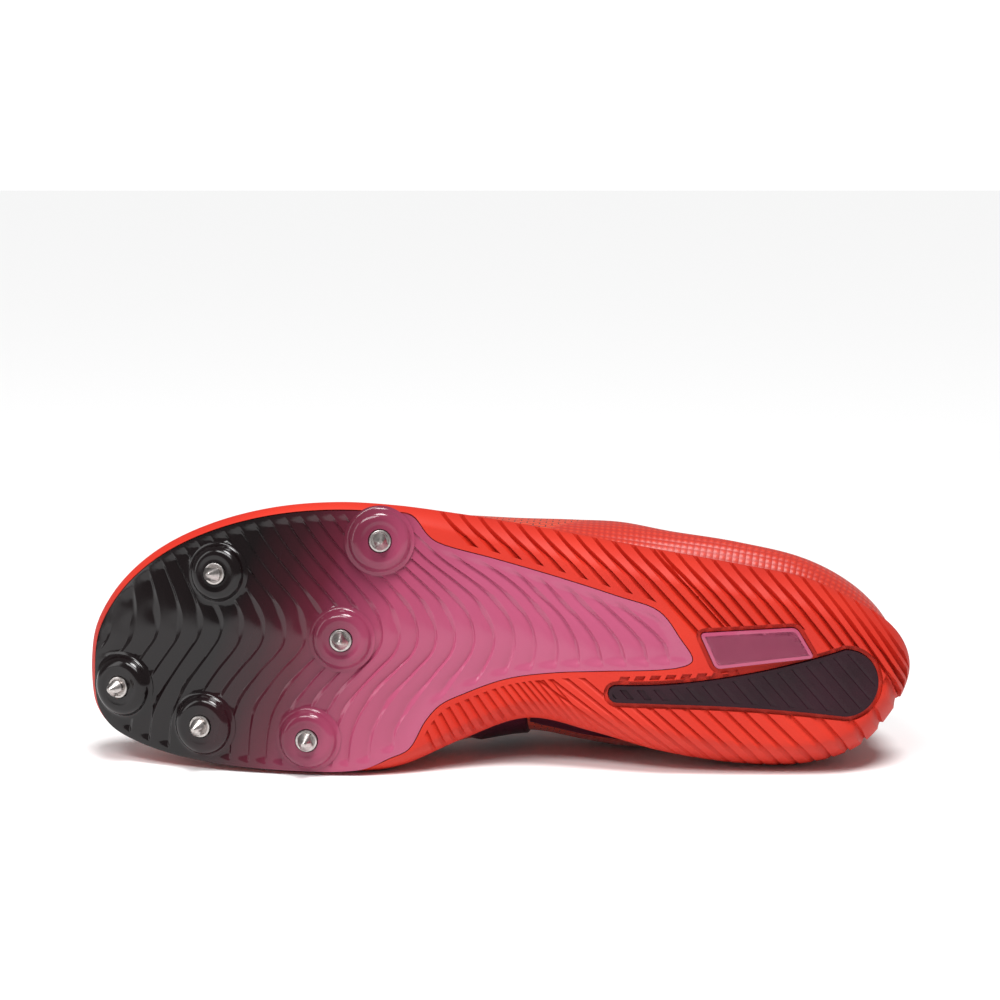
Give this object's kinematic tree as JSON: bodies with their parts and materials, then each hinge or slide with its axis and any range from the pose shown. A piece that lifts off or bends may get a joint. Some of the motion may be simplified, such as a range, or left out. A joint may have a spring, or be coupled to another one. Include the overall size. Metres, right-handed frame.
{
  "type": "track spike shoe",
  "caption": "Left sprint spike shoe lying on its side: hollow mesh upper, tongue, lace, ribbed foam midsole, ridged spike plate with steel pins, heel inserts.",
  "frame": {"origin": "on the floor, under the middle of the shoe's box, the shoe lying on its medial side", "axes": "toe towards -X, heel +X, sole facing -Y, lateral side up +Z"},
  "size_m": [0.2898, 0.1072, 0.0939],
  "materials": {
    "foam": "moulded EVA foam, satin",
    "plate_plastic": "glossy tinted moulding, black at the toe to pink",
    "pad_rubber": "dark plum rubber, fine ribs",
    "plaque_plastic": "pink moulded plaque",
    "upper_mesh": "engineered mesh with a coated heel",
    "lining": "knit lining",
    "overlay_film": "plum film welded to the mesh",
    "lace_cord": "flat woven lace",
    "pin_steel": "machined steel"
  },
  "bodies": {
    "root": {"midsole": "foam", "spike_plate": "plate_plastic", "heel_pad": "pad_rubber", "heel_plaque": "plaque_plastic", "upper": "upper_mesh", "tongue": "upper_mesh", "insole": "lining", "lace": "lace_cord", "arch_band": "overlay_film", "arch_strip": "overlay_film", "spike_1": "pin_steel", "spike_2": "pin_steel", "spike_3": "pin_steel", "spike_4": "pin_steel", "spike_5": "pin_steel", "spike_6": "pin_steel"}
  },
  "joints": []
}
